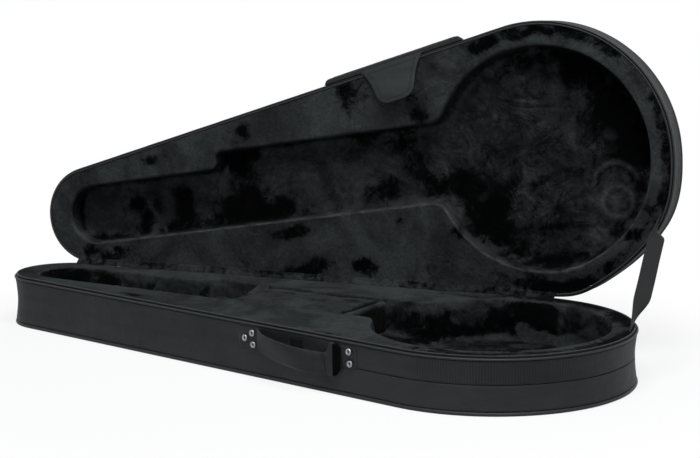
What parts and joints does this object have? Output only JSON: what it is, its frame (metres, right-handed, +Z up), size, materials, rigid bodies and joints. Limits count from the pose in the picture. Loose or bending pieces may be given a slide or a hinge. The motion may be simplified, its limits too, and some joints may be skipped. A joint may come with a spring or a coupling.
{
  "type": "banjo case",
  "caption": "Open soft-sided case for a resonator banjo: two plush-lined foam halves in a nylon shell, hinged by fabric, with zip, stay strap, handle and inner compartment.",
  "frame": {"origin": "middle of the base's underside, in the plane that rests on the floor", "axes": "+X along the case towards the drum end, -Y towards the wall with the handle, +Z up"},
  "size_m": [1.1413, 0.5317, 0.5163],
  "materials": {
    "nylon": "matt coated nylon weave, charcoal black",
    "piping": "satin vinyl piping",
    "plush": "crushed black plush with lighter nap patches",
    "foam": "expanded foam, matt",
    "zip": "satin nylon coil and woven tape",
    "webbing": "woven webbing",
    "hook_and_loop": "matt hook and loop",
    "nickel": "polished nickel rivets",
    "dark_metal": "black painted die-cast metal"
  },
  "bodies": {
    "base": {"base_outer_panel": "nylon", "base_edge_piping": "piping", "base_rim_piping": "piping", "base_lower_wall_cover": "nylon", "base_upper_wall_cover": "nylon", "base_zip_tape": "zip", "base_zip_coil": "zip", "base_foam_shell": "foam", "base_plush_lining": "plush", "neck_cradle": "plush", "compartment_divider": "plush", "handle_tab_left": "webbing", "handle_tab_right": "webbing", "handle_backing_plate_left": "dark_metal", "handle_backing_plate_right": "dark_metal", "handle_rivet_1": "nickel", "handle_rivet_2": "nickel", "handle_rivet_3": "nickel", "handle_rivet_4": "nickel", "handle_rivet_5": "nickel", "handle_shoulder_left": "nylon", "handle_shoulder_right": "nylon", "flap_loop_patch": "hook_and_loop", "hinge_strip": "nylon", "stay_strap": "webbing"},
    "lid": {"lid_outer_panel": "nylon", "lid_edge_piping": "piping", "lid_rim_piping": "piping", "lid_wall_cover": "nylon", "lid_zip_tape": "zip", "lid_zip_coil": "zip", "lid_foam_shell": "foam", "lid_plush_lining": "plush", "flap_patch": "nylon"},
    "flap": {"flap_tongue": "nylon", "flap_hook_patch": "hook_and_loop"},
    "handle": {"handle_grip": "nylon"},
    "compartment_door": {"compartment_lid": "plush", "compartment_pull_tab": "webbing"},
    "head_slider": {"head_zip_slider": "dark_metal"},
    "head_pull": {"head_zip_pull": "dark_metal"},
    "drum_slider": {"drum_zip_slider": "dark_metal"},
    "drum_pull": {"drum_zip_pull": "dark_metal"}
  },
  "joints": [
    {"name": "lid_hinge", "type": "hinge", "parent": "base", "child": "lid", "pos_m": [-0.49094, 0.08131, 0.0862], "axis": [0.9868, 0.1619, 0], "range_deg": [0, 93.1], "deforming": ["stay_strap", "hinge_strip"]},
    {"name": "flap_fold", "type": "hinge", "parent": "lid", "child": "flap", "pos_m": [0.05715, 0.19097, 0.44572], "axis": [-0.9323, -0.1705, -0.3191], "range_deg": [0, 90]},
    {"name": "handle_swing", "type": "hinge", "parent": "base", "child": "handle", "pos_m": [0.11746, -0.18123, 0.06], "axis": [-0.9868, 0.1619, 0], "range_deg": [0, 45], "deforming": ["handle_shoulder_left", "handle_shoulder_right"]},
    {"name": "compartment_hinge", "type": "hinge", "parent": "base", "child": "compartment_door", "pos_m": [0.0015, 0.076, 0.0802], "axis": [1, 0, 0], "range_deg": [-100, 0]},
    {"name": "head_slider_run", "type": "slide", "parent": "base", "child": "head_slider", "axis": [-0.9868, -0.1619, 0], "range_m": [0, 0.04]},
    {"name": "head_pull_swing", "type": "hinge", "parent": "head_slider", "child": "head_pull", "pos_m": [-0.43992, 0.09151, 0.084], "axis": [0.9868, 0.1619, 0], "range_deg": [0, 75]},
    {"name": "drum_slider_run", "type": "slide", "parent": "base", "child": "drum_slider", "axis": [0.9868, 0.1619, 0], "range_m": [0, 0.04]},
    {"name": "drum_pull_swing", "type": "hinge", "parent": "drum_slider", "child": "drum_pull", "pos_m": [0.258, 0.20601, 0.084], "axis": [0.9868, 0.1619, 0], "range_deg": [0, 75]}
  ]
}
